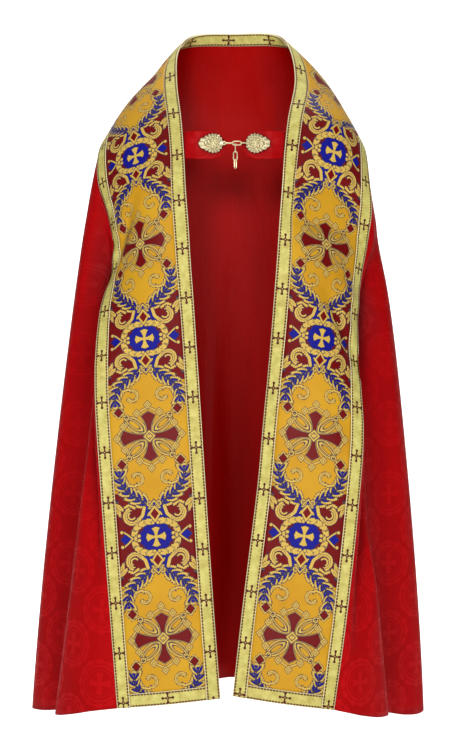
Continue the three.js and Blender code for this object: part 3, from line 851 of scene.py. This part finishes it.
tendril = smaller(hoop(x, y, (31, 85), 11.0, 2.7, (0.9, 0.44, 5.0)), disc(x, y, 37.5, 77.5, 3.6))
tendril = smaller(tendril, chain(x, y, [(29, 96), (39, 99), (50, 96)], 2.3))
fill(tendril + scallop * 0.8, GOLD_THREAD, OUTLINE)
fill(hoop(x, y, (31, 85), 10.6, 0.35, (0.9, 0.44, 5.0)), OUTLINE)

# Scrolls on the dark ground, each with a thinner one inside it
fill(chain(x, y, [(16, 143), (18.5, 158), (26, 171)], 2.6), BROCADE_BLUE, OUTLINE)
scroll = smaller(hoop(x, y, (46, 159), 15, 4.0, (-0.8, -0.6, 6.0)), disc(x, y, 55, 149.5, 5.0))
scroll = smaller(scroll, chain(x, y, [(21, 144), (24.5, 158), (34, 169)], 3.2))
fill(scroll + scallop * 0.6, GOLD_THREAD, OUTLINE)
fill(hoop(x, y, (46, 159), 14.5, 0.45, (-0.8, -0.6, 6.0)), OUTLINE)
fill(hoop(x, y, (47, 158), 7.2, 1.6, (-0.7, -0.7, 2.0)), GOLD_THREAD, OUTLINE)
fill(chain(x, y, [(40, 143), (52, 136), (60, 140)], 2.2) + scallop * 0.8, GOLD_THREAD, OUTLINE)
for turn_of_leaf, reach in ((-14, 15), (16, 16), (48, 12)):
    leaf_x, leaf_y = turned_to(x, y, (77, 134), 90 + turn_of_leaf)
    fill(oval(leaf_x, leaf_y, reach * 0.55, 0, reach, 4.2) + scallop * 0.6, GOLD_THREAD, OUTLINE)
    fill(stroke(leaf_x, leaf_y, (2, 0), (reach, 0), 0.4), OUTLINE)

# The blue quatrefoil in a frame of leaves
from_top = 205 - y
FRAME = [(45, 4, 95), (42, 16, 120), (34, 25, 145), (22, 30, 168), (10, 31, 195)]
for place_x, place_y, heading in FRAME:
    lobe_x, lobe_y = turned_to(x, from_top, (place_x, place_y), heading)
    fill(oval(lobe_x, lobe_y, 0, 0, 12.5, 6.5) + scallop, GOLD_THREAD, OUTLINE)
    fill(oval(lobe_x, lobe_y, 2, 0, 5.0, 0.6), OUTLINE)
lobes = smaller(disc(x, from_top, 0, 15, 13), disc(x, from_top, 20, 0, 16))
lobes = smaller(lobes, disc(x, from_top, 14, 12, 13)) + scallop * 0.7
fill(lobes, BROCADE_BLUE, OUTLINE)
fill(smaller(disc(x, from_top, 35, 4.5, 3.4), disc(x, from_top, 5.0, 29, 3.2)), GOLD_THREAD, OUTLINE)
pattee = smaller(
    larger(x - 2.2 - power(from_top * 0.14, 2), from_top + x * 0.35 - 20.5),
    larger(from_top - 2.2 - power(x * 0.14, 2), x + from_top * 0.35 - 20.5),
)
fill(pattee, GOLD_THREAD, OUTLINE)
fill(rhomb(x, from_top, 62, 0, 11, 11.5), BROCADE_BLUE, OUTLINE)
fill(chain(x, from_top, [(48, 0), (58, 9), (66, 15)], 1.5), GOLD_THREAD, OUTLINE)
fill(disc(x, from_top, 70, 15, 3.2), GOLD_THREAD, OUTLINE)

# The knot and the small rhombus between them
knot_ends = smaller(chain(x, y, [(0, 143), (14, 160)], 1.5), chain(x, y, [(0, 174), (12, 156)], 1.5))
fill(knot_ends, GOLD_THREAD, OUTLINE)
fill(rhomb(x, y, 0, 158, 8.5, 11.5), BROCADE_MAROON, GOLD_THREAD)
fill(hoop(x, y, (9.5, 137), 4.2, 1.3), GOLD_THREAD, OUTLINE)
fill(chain(x, y, [(0, 131), (10, 143)], 1.3), GOLD_THREAD, OUTLINE)
print("shapes in the quarter:", len(layers))

# %% Weaving the layers together
spot = brocade.object_point()
weave = brocade.noise(spot, 900, 2, 0.6)
broad = brocade.noise(spot, 12, 3, 0.5)
ribs = (along * (2 * np.pi / 1.1)).math("SINE") * 0.5 + 0.5
ground = brocade.mix(broad * 1.4 - 0.3, GOLD_SHADE, GOLD_GROUND)
colour = brocade.mix(ribs * 0.16, ground, GOLD_THREAD)
for distance, tint in layers:
    colour = brocade.mix(inside(distance, 0.6), colour, tint)
raised = inside(smaller(smaller(chain(x, y, STEM, 9.0), scroll), cross_arms - 1.9), 1.5)
brocade.connect(
    Base_Color=brocade.mix(weave * 0.16, colour, srgb(52, 20, 6)), Roughness=0.5 + weave * 0.12 - raised * 0.1
)
brocade.bump(ribs * 0.4 + weave * 0.6 + raised, 0.0004, 0.4)
brocade.fixed(Specular_IOR_Level=0.1)
print("brocade nodes:", len(brocade.tree.nodes))

# %% [markdown]
# The clasp is cast and gilt: bright where it is rubbed, brown in the hollows.

# %% Clasp metal
metal = Shader("clasp_metal")
spot = metal.object_point()
worn = metal.noise(spot, 160, 4, 0.6)
hollow = metal.node("ShaderNodeNewGeometry", output="Pointiness")
bright = ((hollow - 0.46) * 8 + worn * 0.5).math("ADD", 0.0, clamp=True)
metal.connect(
    Base_Color=metal.mix(bright, srgb(92, 66, 26), srgb(240, 230, 184)), Roughness=0.5 - bright * 0.14
)
metal.bump(worn + metal.noise(spot, 520, 2), 0.0006, 0.6)
metal.fixed(Metallic=0.7, Specular_IOR_Level=0.4)
print("metal nodes:", len(metal.tree.nodes))

# %% [markdown]
# ## The damask and the lining
# Both run from the left hem over the nape to the right hem in one grid. The damask starts at the orphrey's outer
# edge; the lining covers the whole inside.

# %% A grid over both sides
STATIONS = np.concatenate([[1.2], np.linspace(8, TOP, 250)])


def both_sides(stations, stops):
    """The grid of the left side up to the nape, then the right side down again, and its plan coordinates."""
    left = cloth_sheet("left", stations, stops)
    right = cloth_sheet("right", stations, stops)
    points = np.concatenate([left[0], right[0][-2::-1]])
    normals = np.concatenate([left[1], right[1][-2::-1]])
    return points, normals


RADIUS = 410.0


def damask_uv(points):
    """Around the cloak by the angle from its middle, and up it by height, in metres."""
    around = np.arctan2(points[..., 0], 40 - points[..., 1]) * RADIUS
    return np.stack([around, points[..., 2]], axis=-1) * MM


damask_stops = ORPHREY + 1e-6 + np.linspace(0, 1, 49) ** 1.15
points, normals = both_sides(STATIONS, damask_stops)
body = wall("damask_body", points, normals, 0.0, 1.5, {"cloth": damask_uv(points)})
place_piece(body, damask, "body")

# %% The lining
lining_stops = np.concatenate([np.linspace(1, ORPHREY, 16), ORPHREY + np.linspace(0, 1, 37)[1:] ** 1.15])
points, normals = both_sides(STATIONS, lining_stops)
lining = wall("satin_lining", points, normals, -1.5, -0.5, {"cloth": damask_uv(points)})
place_piece(lining, satin, "lining")

# %% [markdown]
# ## The orphrey and its galloon
# Each is a wall over its own part of the same surface. A long ribbon has a second UV map, OFBake, that folds its
# length into columns side by side, so that its finish bakes as finely as that of a short piece.

# %% Bands


def folded_layout(obj, rows, columns, strips):
    """The outer face's rows in strips side by side over nearly all of the unit square, the rest in a corner."""
    cells = (rows - 1) * (columns - 1)
    cell_row, cell_column = np.divmod(np.arange(cells), columns - 1)
    rows_per_strip = int(np.ceil((rows - 1) / strips))
    strip = cell_row // rows_per_strip
    corner_row = (cell_row - strip * rows_per_strip)[:, None] + np.array([0, 0, 1, 1])
    corner_column = cell_column[:, None] + np.array([0, 1, 1, 0])
    margin = 0.06
    u = (strip[:, None] + margin + (1 - 2 * margin) * corner_column / (columns - 1)) / strips
    v = 0.07 + 0.92 * corner_row / rows_per_strip
    outer = np.stack([u, v], axis=-1)
    hidden = np.full((len(obj.data.loops) - outer.size // 2, 2), 0.03)
    hidden += np.random.default_rng(3).uniform(-0.02, 0.02, hidden.shape)
    layer = obj.data.uv_layers.new(name="OFBake")
    layer.data.foreach_set("uv", np.vstack([outer.reshape(-1, 2), hidden]).astype(np.float32).ravel())


def band(name, side, stations, stops, far, shader, slot, node, along_first, strips):
    """One ribbon of the cloak. along_first swaps the pattern's axes, for a ribbon laid across the band."""
    points, normals = cloth_sheet(side, stations, stops)
    at, across = np.meshgrid(stations, stops, indexing="ij")
    if node.startswith("galloon_outer"):
        across = ORPHREY - across
    plan = np.stack([at, across] if along_first else [across, at], axis=-1) * MM
    order = slice(None) if side == "left" else slice(None, None, -1)
    obj = wall(name, points[order], normals[order], 0.0, far, {"cloth": plan[order]})
    folded_layout(obj, len(stations), len(stops), strips)
    return place_piece(obj, shader, node)


for side in SIDES:
    low = 28.15
    rise = np.linspace(low, TOP, 300)
    whole = np.linspace(0.2, TOP, 306)
    band(
        f"brocade_{side}", side, rise, np.linspace(28.15, 185.85, 28), 2.0, brocade, "brocade",
        f"orphrey_{side}", False, 3,
    )
    band(
        f"ribbon_edge_{side}", side, whole, np.linspace(0, 27.85, 8), 2.4, galloons["edge", side], "galloon",
        f"galloon_edge_{side}", False, 8,
    )
    band(
        f"ribbon_outer_{side}", side, whole, np.linspace(186.15, ORPHREY, 8), 2.4, galloons["outer", side],
        "galloon", f"galloon_outer_{side}", False, 8,
    )
    band(
        f"ribbon_hem_{side}", side, np.linspace(0.2, 27.85, 8), np.linspace(28.15, 185.85, 34), 2.4,
        galloons["hem", side], "galloon", f"galloon_hem_{side}", True, 1,
    )

# %% The galloon inside the neck
NECK_FROM = 1440.0
neck_stations = np.linspace(NECK_FROM, TOP, 50)
neck_stops = np.linspace(0, 27.85, 8)
points, normals = both_sides(neck_stations, neck_stops)
both_at = np.concatenate([neck_stations, 2 * TOP - neck_stations[-2::-1]])
plan = np.stack(np.meshgrid(both_at, neck_stops, indexing="ij")[::-1], axis=-1) * MM
facing = wall("neck_facing_ribbon", points, normals, -3.0, -1.8, {"cloth": plan})
place_piece(facing, galloons["neck", "both"], "neck_facing")

# %% [markdown]
# ## The clasp's tabs
# Each tab is a tongue of doubled damask. Its root follows the inside of the front edge; from there it reaches
# straight across to a round tip.

# %% Tabs
CLASP_HEIGHT = -230.0
TAB_HALF_HEIGHT = 30.0
TAB_ROOT = 22.0  # how far its root reaches behind the galloon
TAB_BEHIND = 4.1  # the middle of the tab behind the cloth's surface
TAB_PLANE = -128.0
TAB_TIPS = {"left": -16.0, "right": 18.0}
TAB_DROP = 3.0  # the middle of the tab below the clasp's
ROUND_FROM = 0.6  # share of the reach where the tip begins to round


def tab(side):
    """Along u from the root (-1) over the edge (0) to the tip (1), and v across its height. Its half height
    falls to a rounded end as the root of 1 - t^2.4."""
    u, v = np.meshgrid(np.linspace(-1, 1, 81), np.linspace(-1, 1, 31), indexing="ij")
    past = np.maximum(0, (u - ROUND_FROM) / 0.4)
    rounded = np.sqrt(np.maximum(1 - past**2.4, 0.02))
    height = CLASP_HEIGHT - TAB_DROP + TAB_HALF_HEIGHT * v * rounded
    stations = np.linspace(600, 1400, 400)
    at = np.interp(height, path(SECTIONS[side], 1, stations)[:, 2], stations)
    across = np.maximum(0, -u) * TAB_ROOT
    root = cloak_point(side, at, across) - outward(side, at, across) * TAB_BEHIND
    reach = np.maximum(u, 0)
    x = root[..., 0] + (TAB_TIPS[side] - root[..., 0]) * reach
    y = root[..., 1] + (TAB_PLANE - root[..., 1]) * smooth(0, 0.34, reach)
    points = np.stack([x, y, np.where(u > 0, height, root[..., 2])], axis=-1)
    order = slice(None) if side == "left" else slice(None, None, -1)
    points = points[order]
    forward = np.broadcast_to(np.array([0.0, -1.0, 0.0]), points.shape)
    obj = wall(f"damask_tab_{side}", points, forward, -1.2, 1.2, {"cloth": points[..., [0, 2]] * MM})
    return place_piece(obj, damask, f"tab_{side}")


tabs = {side: tab(side) for side in SIDES}

# %% [markdown]
# The chain's links and the plates under the palmettes keep their measured shapes. They only take the metal.

# %% Links and plates
for name in (
    "link_front", "link_flat", "clasp_plate_left", "clasp_plate_right",
    "tail_link_1", "tail_link_2", "tail_link_3",
):
    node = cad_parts[name]
    node.data.materials.clear()
    node.data.materials.append(metal.material)

# %% [markdown]
# ## The clasp's palmettes
# Each plate is a thin casting: leaves radiate from the middle to a toothed rim, and one long leaf points away
# from the chain. The relief is a height over a polar grid whose rim follows the teeth.

# %% Relief over a polar grid
PLATES = {"left": (-0.0430, -1), "right": (0.0460, 1)}
PLATE_HEIGHT = -0.230
PLATE_FACE = -0.1327
PLATE_RADIUS = 0.0184
LEAVES = 17


def palmette(side, rings=34, spokes=300):
    """Radius: a circle with LEAVES teeth and one long point. Height: a low dome, fluted by the leaves, with a
    groove inside its rim and a ring of small hollows."""
    centre_x, pointing = PLATES[side]
    share, angle = np.meshgrid(np.linspace(0, 1, rings), np.arange(spokes) * 2 * np.pi / spokes, indexing="ij")
    long_leaf = np.maximum(0, pointing * np.cos(angle)) ** 6
    tooth = 1 - 2 * np.abs((LEAVES * angle / (2 * np.pi)) % 1 - 0.5)
    radius = share * (PLATE_RADIUS + 0.0118 * long_leaf + 0.0028 * tooth * (1 - 0.5 * long_leaf))
    dome = 0.0030 * (1 - share**2.2)
    flutes = 0.0014 * (tooth - 0.5) * smooth(0.5, 0.8, share)
    groove = -0.0016 * np.exp(-(((share - 0.62) / 0.05) ** 2))
    petals = 0.0014 * np.cos(7 * angle + 14 * share) * smooth(0.06, 0.2, share) * (1 - smooth(0.48, 0.58, share))
    height = 0.0012 + dome + flutes + groove + petals
    x = centre_x + radius * np.cos(angle)
    z = PLATE_HEIGHT + radius * np.sin(angle)
    face = np.stack([x, PLATE_FACE - height, z], axis=-1).reshape(-1, 3)
    back = np.stack([x[-1], np.full(spokes, PLATE_FACE + 0.0004), z[-1]], axis=-1)
    ring = np.arange(spokes)
    after = (ring + 1) % spokes
    rows = np.arange(rings - 1)[:, None] * spokes
    quads = np.stack([rows + ring, rows + spokes + ring, rows + spokes + after, rows + after], axis=-1)
    last = (rings - 1) * spokes
    rim = np.stack([last + ring, last + spokes + ring, last + spokes + after, last + after], axis=-1)
    obj = add_mesh(f"palmette_{side}", np.vstack([face, back]), np.vstack([quads.reshape(-1, 4), rim]))
    tidy_normals(obj)
    obj.data.materials.append(metal.material)
    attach(obj, "cope")
    print(obj.name, len(obj.data.polygons), "faces")
    return obj


for side in SIDES:
    palmette(side)
